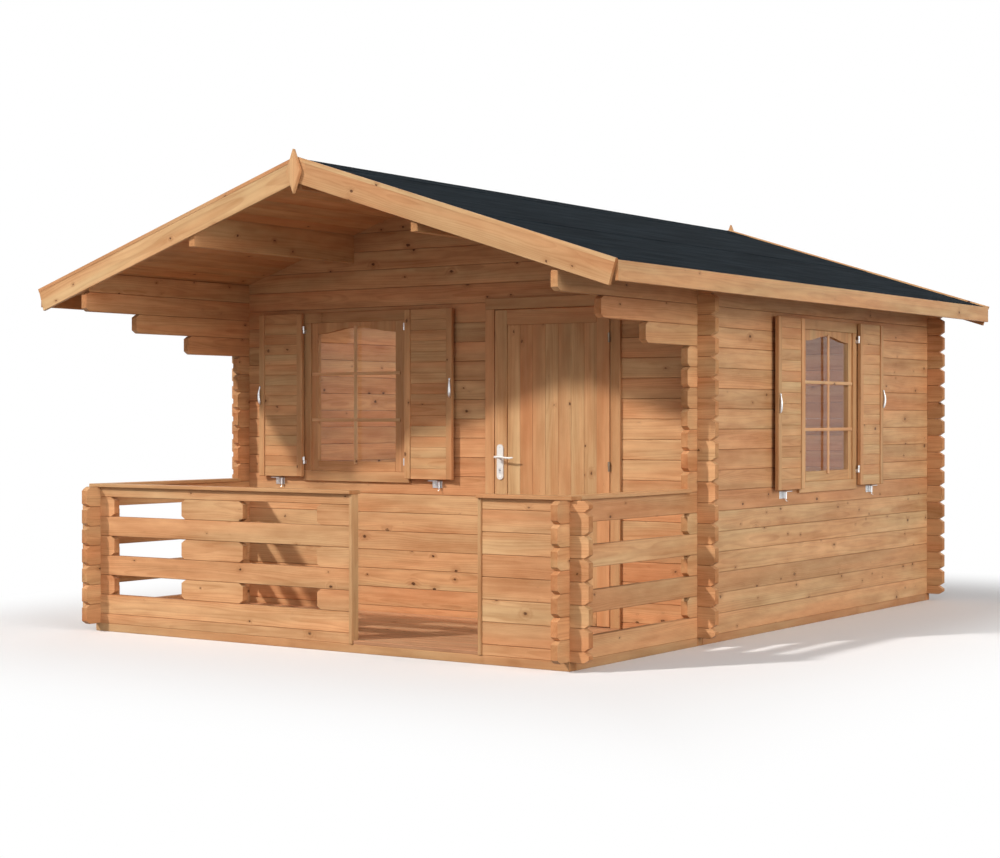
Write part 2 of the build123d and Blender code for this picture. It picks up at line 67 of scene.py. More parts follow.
# Base frame
# Square-sawn pine bearers and joists that lie on the ground. They are spiked together at their ends
# and carry the floors and the lowest logs of the walls.
def add(tree, kind, values=None, **settings):
    """Adds a node, sets its properties, and gives its inputs links or plain values."""
    made = tree.nodes.new(kind)
    for key, value in settings.items():
        setattr(made, key, value)
    for key, value in (values or {}).items():
        if isinstance(value, bpy.types.NodeSocket):
            tree.links.new(value, made.inputs[key])
        else:
            made.inputs[key].default_value = value
    return made


def reckon(tree, operation, first, second=0.0):
    """One step of arithmetic on a shader's values."""
    return add(tree, "ShaderNodeMath", {0: first, 1: second}, operation=operation).outputs[0]


def ease(tree, value, start, end):
    """Rises smoothly from 0 to 1 as the value goes from start to end."""
    return add(tree, "ShaderNodeMapRange", {0: value, 1: start, 2: end},
               interpolation_type="SMOOTHSTEP").outputs[0]


def mingle(tree, amount, first, second, mode="MIX"):
    """Mixes two colours."""
    return add(tree, "ShaderNodeMix", {0: amount, 6: first, 7: second},
               data_type="RGBA", blend_type=mode).outputs[2]


def stretch(tree, along, wide, thin, shares):
    """A point of the wood, scaled by one share along the grain and two across it."""
    scaled = [reckon(tree, "MULTIPLY", part, share) for part, share in zip((along, wide, thin), shares)]
    return add(tree, "ShaderNodeCombineXYZ", dict(enumerate(scaled))).outputs[0]


def cloud(tree, point, detail):
    """A soft noise about zero."""
    noise = add(tree, "ShaderNodeTexNoise", {"Vector": point, "Scale": 1.0, "Detail": detail})
    return reckon(tree, "SUBTRACT", noise.outputs[0], 0.5)


def sockets(tree, way, listed):
    """Names a group's inputs or outputs."""
    for label, kind in listed:
        tree.interface.new_socket(label, in_out=way, socket_type="NodeSocket" + kind)


def make_pine_face():
    """Planed pine: growth rings about a pith, streaks, knots, end grain and dark joints."""
    tree = bpy.data.node_groups.new("pine_face", "ShaderNodeTree")
    sockets(tree, "INPUT", (("Grain", "Vector"), ("Place", "Vector"), ("Tint", "Float"), ("Cut", "Float"),
                            ("Pale", "Color"), ("Deep", "Color"), ("Knots", "Float"), ("Joint", "Float")))
    sockets(tree, "OUTPUT", (("Color", "Color"), ("Height", "Float"), ("Roughness", "Float")))
    come = tree.nodes.new("NodeGroupInput").outputs
    split = add(tree, "ShaderNodeSeparateXYZ", {0: come["Grain"]}).outputs
    along = reckon(tree, "ADD", split[0], reckon(tree, "MULTIPLY", come["Tint"], 97.0))
    wide, thin = split[1], split[2]
    dice = add(tree, "ShaderNodeTexWhiteNoise", {"W": reckon(tree, "MULTIPLY", come["Tint"], 613.0)},
               noise_dimensions="1D").outputs[1]
    draws = add(tree, "ShaderNodeSeparateColor", {0: dice}).outputs

    # knots lie scattered over the wide face, in some of the cells only, and thicker in some timbers
    rows = reckon(tree, "ADD", reckon(tree, "MULTIPLY", wide, 9.0), reckon(tree, "MULTIPLY", draws[0], 9.0))
    scatter = add(tree, "ShaderNodeCombineXYZ", {0: reckon(tree, "MULTIPLY", along, 6.2), 1: rows})
    knotty = reckon(tree, "ADD", reckon(tree, "MULTIPLY", draws[1], 1.1), 0.45)
    knotty = reckon(tree, "MULTIPLY", knotty, come["Knots"])
    cells = add(tree, "ShaderNodeTexVoronoi", {"Vector": scatter.outputs[0], "Scale": 1.0},
                voronoi_dimensions="2D")
    ragged = cloud(tree, stretch(tree, along, wide, thin, (70, 130, 130)), 1.0)
    reach = reckon(tree, "ADD", cells.outputs["Distance"], reckon(tree, "MULTIPLY", ragged, 0.085))
    pick = add(tree, "ShaderNodeSeparateColor", {0: cells.outputs["Color"]}).outputs[0]
    spare = reckon(tree, "SUBTRACT", pick, reckon(tree, "SUBTRACT", 1.0, knotty))
    there = reckon(tree, "GREATER_THAN", spare, 0.0)
    size = reckon(tree, "POWER", reckon(tree, "DIVIDE", spare, knotty), 2.0)
    size = reckon(tree, "ADD", reckon(tree, "MULTIPLY", size, 0.075), 0.042)
    core = reckon(tree, "SUBTRACT", 1.0, ease(tree, reach, reckon(tree, "MULTIPLY", size, 0.55), size))
    core = reckon(tree, "MULTIPLY", core, there)
    halo = ease(tree, reach, reckon(tree, "MULTIPLY", size, 0.6), reckon(tree, "MULTIPLY", size, 4.0))
    halo = reckon(tree, "MULTIPLY", reckon(tree, "SUBTRACT", 1.0, halo), there)

    # rings run round a pith that lies under one face of each timber, and swing round the knots
    pith_wide = reckon(tree, "MULTIPLY", reckon(tree, "SUBTRACT", draws[0], 0.5), 0.16)
    pith_thin = reckon(tree, "SUBTRACT", reckon(tree, "MULTIPLY", draws[1], -0.08), 0.025)
    spoke = add(tree, "ShaderNodeCombineXYZ", {1: reckon(tree, "SUBTRACT", wide, pith_wide),
                                               2: reckon(tree, "SUBTRACT", thin, pith_thin)}).outputs[0]
    radius = add(tree, "ShaderNodeVectorMath", {0: spoke}, operation="LENGTH").outputs["Value"]
    swing = reckon(tree, "MULTIPLY", cloud(tree, stretch(tree, along, wide, thin, (0.9, 5, 5)), 2.0), 0.05)
    radius = reckon(tree, "ADD", reckon(tree, "ADD", radius, swing), reckon(tree, "MULTIPLY", halo, 0.010))
    density = reckon(tree, "ADD", reckon(tree, "MULTIPLY", draws[2], 110.0), 120.0)
    turn = reckon(tree, "FRACT", reckon(tree, "MULTIPLY", radius, density))
    late = reckon(tree, "SUBTRACT", ease(tree, turn, 0.35, 0.9), ease(tree, turn, 0.92, 1.0))
    streak = cloud(tree, stretch(tree, along, wide, thin, (2.2, 42, 42)), 4.0)
    fibre = cloud(tree, stretch(tree, along, wide, thin, (11, 650, 650)), 2.0)
    patch = cloud(tree, stretch(tree, along, wide, thin, (1.3, 11, 11)), 2.0)
    blot = cloud(tree, stretch(tree, along, wide, thin, (6, 17, 17)), 3.0)
    warmth = ease(tree, cloud(tree, stretch(tree, along, wide, thin, (0.8, 8, 8)), 2.0), -0.2, 0.2)

    # colour: pale early wood, deeper late wood, and a tone of its own for each timber
    depth = reckon(tree, "ADD", reckon(tree, "MULTIPLY", late, 0.26), 0.34)
    for part, share in ((streak, 0.8), (patch, 1.3), (blot, 0.75), (fibre, 0.3)):
        depth = reckon(tree, "ADD", depth, reckon(tree, "MULTIPLY", part, share))
    color = mingle(tree, depth, come["Pale"], come["Deep"])
    tone = mingle(tree, draws[2], (1.09, 1.10, 1.07, 1), (0.91, 0.83, 0.77, 1))
    color = mingle(tree, 1.0, color, tone, "MULTIPLY")
    hue = mingle(tree, draws[1], (1.04, 0.97, 0.93, 1), (0.96, 1.02, 1.02, 1))
    color = mingle(tree, 1.0, color, hue, "MULTIPLY")
    blush = mingle(tree, warmth, (1.06, 0.96, 0.90, 1), (0.95, 1.01, 1.0, 1))
    color = mingle(tree, 1.0, color, blush, "MULTIPLY")
    shadow = reckon(tree, "MULTIPLY", halo, reckon(tree, "ADD", reckon(tree, "MULTIPLY", streak, 1.2), 0.4))
    color = mingle(tree, shadow, color, (0.33, 0.135, 0.048, 1))
    color = mingle(tree, reckon(tree, "MULTIPLY", core, 0.94), color, (0.08, 0.027, 0.011, 1))
    end_tone = mingle(tree, 1.0, color, (0.84, 0.74, 0.66, 1), "MULTIPLY")
    color = mingle(tree, come["Cut"], color, end_tone)
    place = add(tree, "ShaderNodeSeparateXYZ", {0: come["Place"]}).outputs
    seam = ease(tree, reckon(tree, "ABSOLUTE", place[1]), 0.945, 1.0)
    seam = reckon(tree, "MULTIPLY", seam, reckon(tree, "ADD", patch, 0.9))
    seam = reckon(tree, "MULTIPLY", seam, come["Joint"])
    color = mingle(tree, seam, color, (0.13, 0.052, 0.02, 1))

    height = reckon(tree, "ADD", reckon(tree, "MULTIPLY", late, 0.3), reckon(tree, "MULTIPLY", fibre, 0.7))
    height = reckon(tree, "ADD", height, reckon(tree, "MULTIPLY", streak, 0.5))
    height = reckon(tree, "SUBTRACT", height, reckon(tree, "MULTIPLY", core, 0.5))
    dull = reckon(tree, "ADD", reckon(tree, "MULTIPLY", late, -0.08), 0.56)
    dull = reckon(tree, "ADD", dull, reckon(tree, "MULTIPLY", fibre, 0.3))
    dull = reckon(tree, "ADD", dull, reckon(tree, "MULTIPLY", come["Cut"], 0.2))
    add(tree, "NodeGroupOutput", {"Color": color, "Height": height, "Roughness": dull})
    return tree


pine_face = make_pine_face()


def pine(name, pale, deep, knots, joint):
    """A glazed pine that reads each timber's own grain."""
    finish = bpy.data.materials.new(name)
    finish.use_nodes = True
    tree = finish.node_tree
    read = {label: add(tree, "ShaderNodeAttribute", attribute_name=label.lower()).outputs
            for label in ("Grain", "Place", "Tint", "Cut")}
    wood = add(tree, "ShaderNodeGroup", {
        "Grain": read["Grain"]["Vector"], "Place": read["Place"]["Vector"], "Tint": read["Tint"]["Fac"],
        "Cut": read["Cut"]["Fac"], "Pale": (*pale, 1), "Deep": (*deep, 1), "Knots": knots, "Joint": joint},
        node_tree=pine_face)
    bump = add(tree, "ShaderNodeBump", {
        "Height": wood.outputs["Height"], "Strength": 0.35, "Distance": 0.001})
    shader = tree.nodes["Principled BSDF"]
    tree.links.new(wood.outputs["Color"], shader.inputs["Base Color"])
    tree.links.new(wood.outputs["Roughness"], shader.inputs["Roughness"])
    tree.links.new(bump.outputs["Normal"], shader.inputs["Normal"])
    shader.inputs["Specular IOR Level"].default_value = 0.16
    return finish


def copy_of(node, chamfer=0.0):
    """The node's solids as whole faces, with a narrow flat taken off their outer edges."""
    work = bmesh.new()
    work.from_mesh(frame["nodes"][node].data)
    bmesh.ops.remove_doubles(work, verts=work.verts, dist=1e-5)
    bmesh.ops.dissolve_limit(work, angle_limit=math.radians(0.4), verts=work.verts, edges=work.edges)
    turn = math.radians(30)
    sharp = [edge for edge in work.edges
             if len(edge.link_faces) == 2 and edge.is_convex and edge.calc_face_angle() > turn]
    if chamfer:
        bmesh.ops.bevel(work, geom=sharp, offset=chamfer, segments=1, profile=0.5, affect="EDGES",
                        clamp_overlap=True)
    return work


def beam(work, low, high, chamfer=0.002, turned=None):
    """Adds a box between two corners, with eased edges, and turns it into place."""
    low, high = Vector(low), Vector(high)
    place = Matrix.Translation((low + high) / 2) @ Matrix.Diagonal((*(high - low), 1))
    made = bmesh.ops.create_cube(work, size=1, matrix=place)["verts"]
    edges = list({edge for vert in made for edge in vert.link_edges})
    eased = bmesh.ops.bevel(work, geom=edges, offset=chamfer, segments=1, profile=0.5, affect="EDGES",
                            clamp_overlap=True)
    if turned:
        bmesh.ops.transform(work, matrix=turned, verts=eased["verts"])


def islands(work):
    """The separate solids of a piece, each as a list of its corners."""
    seen = set()
    found = []
    for first in work.verts:
        if first in seen:
            continue
        solid = [first]
        seen.add(first)
        for vert in solid:
            for edge in vert.link_edges:
                other = edge.other_vert(vert)
                if other not in seen:
                    seen.add(other)
                    solid.append(other)
        found.append(solid)
    return found


def placed(name, work):
    """A piece at the origin, smooth over its round faces only."""
    mesh = work
    if isinstance(work, bmesh.types.BMesh):
        mesh = bpy.data.meshes.new(name)
        work.normal_update()
        work.to_mesh(mesh)
        work.free()
    if "custom_normal" in mesh.attributes:
        mesh.attributes.remove(mesh.attributes["custom_normal"])
    mesh.shade_smooth()
    mesh.set_sharp_from_angle(angle=math.radians(32))
    piece = bpy.data.objects.new(name, mesh)
    bpy.context.scene.collection.objects.link(piece)
    return piece


def timbers(name, work, seed, along=None):
    """A piece in which every separate timber knows its grain, its edges, its tint and its cut ends."""
    draw = random.Random(seed)
    grain = work.verts.layers.float_vector.new("grain")
    place = work.verts.layers.float_vector.new("place")
    tint = work.verts.layers.float.new("tint")
    cut = work.faces.layers.float.new("cut")
    work.normal_update()
    for timber in islands(work):
        edges = [edge for vert in timber for edge in vert.link_edges]
        longest = max(edges, key=lambda edge: round(edge.calc_length(), 5))
        run = Vector(along) if along else (longest.verts[1].co - longest.verts[0].co).normalized()
        run = -run if min(run) < -max(run) else run
        up = Vector((0, 0, 1)) if abs(run.z) < 0.9 else Vector((1, 0, 0))
        up = (up - up.dot(run) * run).normalized()
        axes = [run, up, run.cross(up)]
        spans = [[vert.co.dot(axis) for vert in timber] for axis in axes]
        if max(spans[2]) - min(spans[2]) > max(spans[1]) - min(spans[1]):
            axes = [axes[0], axes[2], axes[1]]
            spans = [spans[0], spans[2], spans[1]]
        middle = Vector([(max(span) + min(span)) / 2 for span in spans])
        half = [(max(span) - min(span)) / 2 for span in spans]
        shade = draw.random()
        for vert in timber:
            local = Vector([vert.co.dot(axis) for axis in axes]) - middle
            vert[grain] = local
            vert[place] = Vector([value / reach for value, reach in zip(local, half)])
            vert[tint] = shade
            for face in vert.link_faces:
                face[cut] = 1.0 if abs(face.normal.dot(run)) > 0.7 else 0.0
    return placed(name, work)


def fix(piece, finish, slot, body, *nodes):
    """Gives a piece its finish, and lets it ride on a body in place of CAD nodes. The slot is not used."""
    piece.data.materials.clear()
    piece.data.materials.append(finish)
    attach(piece, body)
    if nodes:
        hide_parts(*nodes)


base_ease = 0.003
deck_pine = pine("deck_pine", (0.67, 0.405, 0.245), (0.42, 0.217, 0.12), knots=0.2, joint=0.4)
base_pine = pine("base_pine", (0.63, 0.375, 0.196), (0.42, 0.198, 0.085), knots=0.2, joint=0.1)
for seed, node in enumerate(("base_bearers", "base_joists")):
    fix(timbers(node + "_timber", copy_of(node, base_ease), seed), base_pine, "deck_wood", "cabin", node)

# Floors
# Tongued pine boards laid from side to side on the joists and nailed down, with a narrow board that
# closes the veranda's edge between the entrance posts.
floor_board_width = 0.09
floor_joint = 0.0006
floor_ease = 0.0025
post_overlap = 0.0213


def make_board_row():
    """A row of like boards at an even step, each with a tint of its own."""
    tree = bpy.data.node_groups.new("board_row", "GeometryNodeTree")
    sockets(tree, "INPUT", (("Board", "Object"), ("Count", "Int"), ("Step", "Vector"), ("Seed", "Int"),
                            ("Finish", "Material")))
    sockets(tree, "OUTPUT", (("Geometry", "Geometry"),))
    come = tree.nodes.new("NodeGroupInput").outputs
    line = add(tree, "GeometryNodeMeshLine", {
        "Count": come["Count"], "Offset": come["Step"]}, mode="OFFSET")
    board = add(tree, "GeometryNodeObjectInfo", {"Object": come["Board"]})
    row = add(tree, "GeometryNodeInstanceOnPoints", {
        "Points": line.outputs[0], "Instance": board.outputs["Geometry"]})
    luck = add(tree, "FunctionNodeRandomValue", {"Seed": come["Seed"]}, data_type="FLOAT")
    marked = add(tree, "GeometryNodeStoreNamedAttribute", {
        "Geometry": row.outputs[0], "Name": "tint", "Value": luck.outputs["Value"]},
        data_type="FLOAT", domain="INSTANCE")
    whole = add(tree, "GeometryNodeRealizeInstances", {0: marked.outputs[0]})
    dressed = add(tree, "GeometryNodeSetMaterial", {
        "Geometry": whole.outputs[0], "Material": come["Finish"]})
    add(tree, "NodeGroupOutput", {0: dressed.outputs[0]})
    return tree


def grown(tree, ground=None, **inputs):
    """Runs a tree of named inputs and gives its result as a plain mesh."""
    host = bpy.data.objects.new("host", ground or bpy.data.meshes.new("host"))
    bpy.context.scene.collection.objects.link(host)
    modifier = host.modifiers.new("grow", "NODES")
    modifier.node_group = tree
    for item in tree.interface.items_tree:
        if item.in_out == "INPUT" and item.name in inputs:
            modifier[item.identifier] = inputs[item.name]
    graph = bpy.context.evaluated_depsgraph_get()
    mesh = bpy.data.meshes.new_from_object(host.evaluated_get(graph), depsgraph=graph)
    bpy.data.objects.remove(host)
    return mesh


board_row = make_board_row()


def row_of(name, work, count, step, seed, finish):
    """Lays a row of boards like the first one."""
    board = timbers("first_board", work, seed)
    board.data.attributes.remove(board.data.attributes["tint"])
    mesh = grown(board_row, Board=board, Count=count, Step=step, Seed=seed, Finish=finish)
    bpy.data.objects.remove(board)
    return placed(name, mesh)


def lay_floor(node, front, seed):
    """Boards over the node's width, from a front edge to its back."""
    low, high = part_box(node)
    count = round((high.y - front) / floor_board_width)
    pitch = (high.y - front) / count
    first = bmesh.new()
    beam(first, (low.x, front, low.z), (high.x, front + pitch - floor_joint, high.z), floor_ease)
    boards = row_of(node + "_boards", first, count, (0, pitch, 0), seed, deck_pine)
    fix(boards, deck_pine, "deck_wood", "cabin", node)


veranda_low, veranda_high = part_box("veranda_floor")
room_low, room_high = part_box("room_floor")
post_low, post_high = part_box("entrance_posts")
lay_floor("veranda_floor", post_high.y + floor_joint, 11)
lay_floor("room_floor", room_low.y, 12)
work = bmesh.new()
beam(work, (post_low.x + post_overlap, veranda_low.y, veranda_low.z),
     (post_high.x - post_overlap, post_high.y, veranda_high.z), floor_ease)
fix(timbers("veranda_edge_board", work, 13), deck_pine, "deck_wood", "cabin")

# Log walls and railings
# Planed pine logs, stacked with a bevelled joint and notched over each other at the corners, where
# their ends stand out with the corners sawn off. Every second side log runs on to the front as railing.
log_pine = pine("log_pine", (0.68, 0.408, 0.22), (0.42, 0.194, 0.083), knots=0.2, joint=0.45)
log_nodes = ("front_wall", "back_wall", "left_wall", "right_wall",
             "front_left_rail", "front_right_rail", "side_rail_blocks")
for seed, node in enumerate(log_nodes):
    fix(timbers(node + "_logs", copy_of(node), 20 + seed), log_pine, "log_wood", "cabin", node)

# Railing caps and entrance posts
# Planed boards with eased edges, screwed down on the railings and upright against their cut ends.
trim_pine = pine("trim_pine", (0.65, 0.395, 0.21), (0.437, 0.211, 0.092), knots=0.11, joint=0.1)
cap_ease = 0.003
for seed, node in enumerate(("rail_caps", "entrance_posts")):
    fix(timbers(node + "_trim", copy_of(node, cap_ease), 30 + seed), trim_pine, "trim_wood", "cabin", node)

# Roof timbers and boards
# Three purlins laid on the gables, under tongued boards with their bevelled side turned down to the
# veranda.
roof_pitch = math.radians(17.67)
roof_board_width = 0.098
roof_joint = 0.0015
roof_end_gap = 0.006
purlin_ease = 0.003
purlins = timbers("roof_purlins_timber", copy_of("roof_purlins", purlin_ease), 40)
fix(purlins, trim_pine, "trim_wood", "cabin", "roof_purlins")
for side, node in ((-1, "left_roof_boards"), (1, "right_roof_boards")):
    low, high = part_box(node)
    eave = high.x if side > 0 else -low.x
    ridge_under = low.z + eave * math.tan(roof_pitch)
    run = (eave - roof_end_gap) / math.cos(roof_pitch)
    count = round(run / roof_board_width)
    pitch = run / count
    down = Matrix.Rotation(side * roof_pitch, 4, "Y")
    place = Matrix.Translation((0, 0, ridge_under)) @ down
    thick = (high.z - ridge_under) * math.cos(roof_pitch)
    first = bmesh.new()
    near, far = sorted((0, side * (pitch - floor_joint)))
    beam(first, (near, low.y, 0), (far, high.y, thick), roof_joint, place)
    step = down @ Vector((side * pitch, 0, 0))
    boards = row_of(node + "_row", first, count, step, 42 + side, trim_pine)
    fix(boards, trim_pine, "trim_wood", "cabin", node)

# Roof felt
# Mineral-faced bitumen felt in strips along the building, the upper over the lower, with a cap over
# the ridge.
felt_width = 1.0
felt_lap = 0.08
felt_cap = 0.17
felt_gauge = 0.0018
felt_wave = 0.0006
felt_steps = 60
felt = bpy.data.materials.new("mineral_felt")
felt.use_nodes = True
tree = felt.node_tree
spot = add(tree, "ShaderNodeTexCoord").outputs["Object"]
drawn = add(tree, "ShaderNodeMapping", {"Vector": spot, "Scale": (7.0, 0.55, 7.0)}).outputs[0]
streaks = add(tree, "ShaderNodeTexNoise", {
    "Vector": drawn, "Scale": 3.0, "Detail": 6.0, "Roughness": 0.7}).outputs[0]
grit = add(tree, "ShaderNodeTexNoise", {"Vector": spot, "Scale": 700.0, "Detail": 2.0}).outputs[0]
slate = mingle(tree, ease(tree, streaks, 0.38, 0.66), (0.003, 0.0055, 0.008, 1), (0.011, 0.017, 0.022, 1))
grains = reckon(tree, "MULTIPLY", ease(tree, grit, 0.54, 0.74), 0.3)
slate = mingle(tree, grains, slate, (0.03, 0.037, 0.043, 1))
rough = add(tree, "ShaderNodeBump", {"Height": grit, "Strength": 0.5, "Distance": 0.0008})
shader = tree.nodes["Principled BSDF"]
tree.links.new(slate, shader.inputs["Base Color"])
tree.links.new(rough.outputs["Normal"], shader.inputs["Normal"])
shader.inputs["Roughness"].default_value = 0.9
shader.inputs["Specular IOR Level"].default_value = 0.012
draw = random.Random(50)
for side, node in ((-1, "left_roof_felt"), (1, "right_roof_felt")):
    low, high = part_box(node)
    span = high.x - low.x
    ridge_foot = low.z + span * math.tan(roof_pitch)
    slope_length = span / math.cos(roof_pitch)
    cap_start = slope_length - felt_cap
    work = bmesh.new()
    strips = ((0, felt_width, 0), (felt_width - felt_lap, slope_length, 1), (cap_start, slope_length, 1))
    for start, end, under in strips:
        foot = under * felt_gauge
        head = foot if start == cap_start else 0
        profile = ((start, foot), (start, foot + felt_gauge), (end, head + felt_gauge), (end, head))
        rings = []
        for step in range(felt_steps + 1):
            y = low.y + (high.y - low.y) * step / felt_steps
            ring = []
            for travel, lift in profile:
                lift += felt_wave * draw.random()
                away = slope_length - travel
                ring.append(work.verts.new((side * away * math.cos(roof_pitch), y,
                                            ridge_foot - away * math.sin(roof_pitch) + lift)))
            rings.append(ring)
        for near, far in zip(rings, rings[1:]):
            for one in range(4):
                other = (one + 1) % 4
                work.faces.new((near[one], near[other], far[other], far[one]))
        work.faces.new(rings[0])
        work.faces.new(rings[-1])
    bmesh.ops.recalc_face_normals(work, faces=work.faces)
    fix(placed(node + "_strips", work), felt, "roof_felt", "cabin", node)

# Barge boards, strips, fascias and finials
# Planed boards nailed over the ends of the roof, with a thin strip along the upper edge, boards along
# the eaves and a sawn diamond at each end of the ridge.
strip_proud = 0.002
barge_ease = 0.002
finial_ease = 0.004
barge_low, barge_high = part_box("left_barge_boards")
for seed, node in enumerate(("left_barge_boards", "right_barge_boards", "eave_fascias")):
    fix(timbers(node + "_trim", copy_of(node, barge_ease), 60 + seed), trim_pine, "trim_wood", "cabin", node)
work = copy_of("barge_strips")
for vert in work.verts:
    vert.co.y = min(max(vert.co.y, barge_low.y - strip_proud), barge_high.y + strip_proud)
fix(timbers("barge_strips_trim", work, 63), trim_pine, "trim_wood", "cabin", "barge_strips")
work = copy_of("ridge_finials", finial_ease)
finials = timbers("ridge_finials_trim", work, 64, along=(0, 0, 1))
fix(finials, trim_pine, "trim_wood", "cabin", "ridge_finials")

# Door frame
# Jambs, head and sill that grip the ends of the logs between an inner and an outer casing.
casing_ease = 0.002
for seed, node in enumerate(("door_jambs", "door_head", "door_sill")):
    fix(timbers(node + "_trim", copy_of(node, casing_ease), 70 + seed), trim_pine, "trim_wood", "cabin", node)

# Door leaf
# A mortised frame of stiles and rails with upright tongued boards let into it from both faces.
stile = 0.085
top_rail = 0.088
bottom_rail = 0.12
board_recess = 0.008
door_boards = 7
door_board_ease = 0.0018
board_gap = 0.0003
leaf_low, leaf_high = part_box("door_leaf")
field_low = Vector((leaf_low.x + stile, leaf_low.y + board_recess, leaf_low.z + bottom_rail))
field_high = Vector((leaf_high.x - stile, leaf_high.y - board_recess, leaf_high.z - top_rail))
work = bmesh.new()
beam(work, leaf_low, (field_low.x, leaf_high.y, leaf_high.z))
beam(work, (field_high.x, leaf_low.y, leaf_low.z), leaf_high)
beam(work, (field_low.x, leaf_low.y, leaf_low.z), (field_high.x, leaf_high.y, field_low.z))
beam(work, (field_low.x, leaf_low.y, field_high.z), (field_high.x, leaf_high.y, leaf_high.z))
fix(timbers("door_leaf_frame", work, 75), trim_pine, "trim_wood", "door", "door_leaf")
board_pitch = (field_high.x - field_low.x) / door_boards
work = bmesh.new()
beam(work, field_low, (field_low.x + board_pitch - board_gap, field_high.y, field_high.z), door_board_ease)
boards = row_of("door_leaf_boards", work, door_boards, (board_pitch, 0, 0), 77, trim_pine)
fix(boards, trim_pine, "trim_wood", "door")

# Door furniture
# A white enamelled plate and lever on each face of the leaf, joined through it by the spindle, with a
# lock cylinder under the lever. Screws hold the plates.
plate_ease = 0.0035
enamel = bpy.data.materials.new("white_enamel")
enamel.use_nodes = True
tree = enamel.node_tree
shader = tree.nodes["Principled BSDF"]
spot = add(tree, "ShaderNodeTexCoord").outputs["Object"]
smear = add(tree, "ShaderNodeTexNoise", {"Vector": spot, "Scale": 60.0, "Detail": 3.0}).outputs[0]
glaze = mingle(tree, smear, (0.84, 0.83, 0.79, 1), (0.72, 0.71, 0.67, 1))
tree.links.new(glaze, shader.inputs["Base Color"])
tree.links.new(reckon(tree, "ADD", reckon(tree, "MULTIPLY", smear, 0.2), 0.18), shader.inputs["Roughness"])
plates = placed("door_plates_enamel", copy_of("door_plates", plate_ease))
fix(plates, enamel, "handle", "door", "door_plates")


def swept(work, points, radii, flat=1.0, sides=16):
    """A round or flattened bar through points, with a radius at each of them."""
    rings = []
    for index, point in enumerate(points):
        before = points[max(index - 1, 0)]
        after = points[min(index + 1, len(points) - 1)]
        run = (after - before).normalized()
        up = Vector((0, 0, 1)) if abs(run.z) < 0.8 else Vector((1, 0, 0))
        across = run.cross(up).normalized()
        up = across.cross(run)
        ring = []
        for step in range(sides):
            angle = 2 * math.pi * step / sides
            spoke = flat * math.cos(angle) * across + math.sin(angle) * up
            ring.append(work.verts.new(point + radii[index] * spoke))
        rings.append(ring)
    faces = [work.faces.new(rings[0]), work.faces.new(rings[-1])]
    for near, far in zip(rings, rings[1:]):
        for one in range(sides):
            other = (one + 1) % sides
            faces.append(work.faces.new((near[one], near[other], far[other], far[one])))
    bmesh.ops.recalc_face_normals(work, faces=faces)


def rounded(count):
    """Radius shares of a bar whose two ends are rounded off."""
    return [math.sqrt(max(0.02, 1 - abs(2 * step / count - 1) ** 14)) for step in range(count + 1)]


lever_low, lever_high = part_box("door_lever")
plates_low, plates_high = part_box("door_plates")
spindle = Vector(((plates_low.x + plates_high.x) / 2, (leaf_low.y + leaf_high.y) / 2,
                  (lever_low.z + lever_high.z) / 2))
lever_reach = lever_high.x - spindle.x
lever_tail = 0.016
lever_radius = 0.0078
lever_steps = 28
lever_flat = 0.72
lever_bend = 0.004
lever_wave = 0.0035
lever_taper = 0.3
neck_shape = ((0, 0.0095), (0.25, 0.0085), (0.6, 0.007), (1, 0.0068))
spindle_radius = 0.0045
work = bmesh.new()
for tip, plate in ((lever_low.y, plates_low.y), (lever_high.y, plates_high.y)):
    way = -1 if tip < spindle.y else 1
    middle = tip - way * lever_flat * lever_radius
    shares = rounded(lever_steps)
    points = []
    radii = []
    for step in range(lever_steps + 1):
        share = step / lever_steps
        points.append(Vector((spindle.x - lever_tail + share * (lever_reach + lever_tail),
                              middle - way * lever_bend * share ** 3,
                              spindle.z + lever_wave * math.sin(2 * math.pi * share))))
        radii.append(lever_radius * (1 - lever_taper * share) * shares[step])
    swept(work, points, radii, lever_flat)
    neck = [Vector((spindle.x, plate + (middle - plate) * share, spindle.z)) for share, radius in neck_shape]
    swept(work, neck, [radius for share, radius in neck_shape])
swept(work, [Vector((spindle.x, y, spindle.z)) for y in (plates_low.y, plates_high.y)],
      (spindle_radius, spindle_radius))
fix(placed("door_lever_enamel", work), enamel, "handle", "door_lever", "door_lever")

zinc = bpy.data.materials.new("zinc_plate")
zinc.use_nodes = True
tree = zinc.node_tree
shader = tree.nodes["Principled BSDF"]
spot = add(tree, "ShaderNodeTexCoord").outputs["Object"]
spangle = add(tree, "ShaderNodeTexVoronoi", {"Vector": spot, "Scale": 220.0}).outputs["Color"]
spangle = add(tree, "ShaderNodeSeparateColor", {0: spangle}).outputs[0]
bare = mingle(tree, spangle, (0.72, 0.72, 0.71, 1), (0.58, 0.58, 0.59, 1))
tree.links.new(bare, shader.inputs["Base Color"])
dull = reckon(tree, "ADD", reckon(tree, "MULTIPLY", spangle, 0.16), 0.3)
tree.links.new(dull, shader.inputs["Roughness"])
shader.inputs["Metallic"].default_value = 1.0

lock_drop = 0.072
lock_radius = 0.0085
lock_tail = 0.016
lock_proud = 0.002
lock_ease = 0.0008
work = bmesh.new()
for face, way in ((plates_low.y, -1), (plates_high.y, 1)):
    middle = Vector((spindle.x, face, spindle.z - lock_drop))
    out = Vector((0, way * lock_proud, 0))
    swept(work, [middle - 2 * out, middle + 0.6 * out, middle + out],
          (lock_radius, lock_radius, 0.9 * lock_radius))
    near, far = sorted((face - way * lock_proud, face + way * lock_proud))
    beam(work, (spindle.x - lock_tail / 3, near, middle.z - lock_tail - lock_radius / 2),
         (spindle.x + lock_tail / 3, far, middle.z), lock_ease)
fix(placed("door_locks", work), zinc, "hardware", "door")


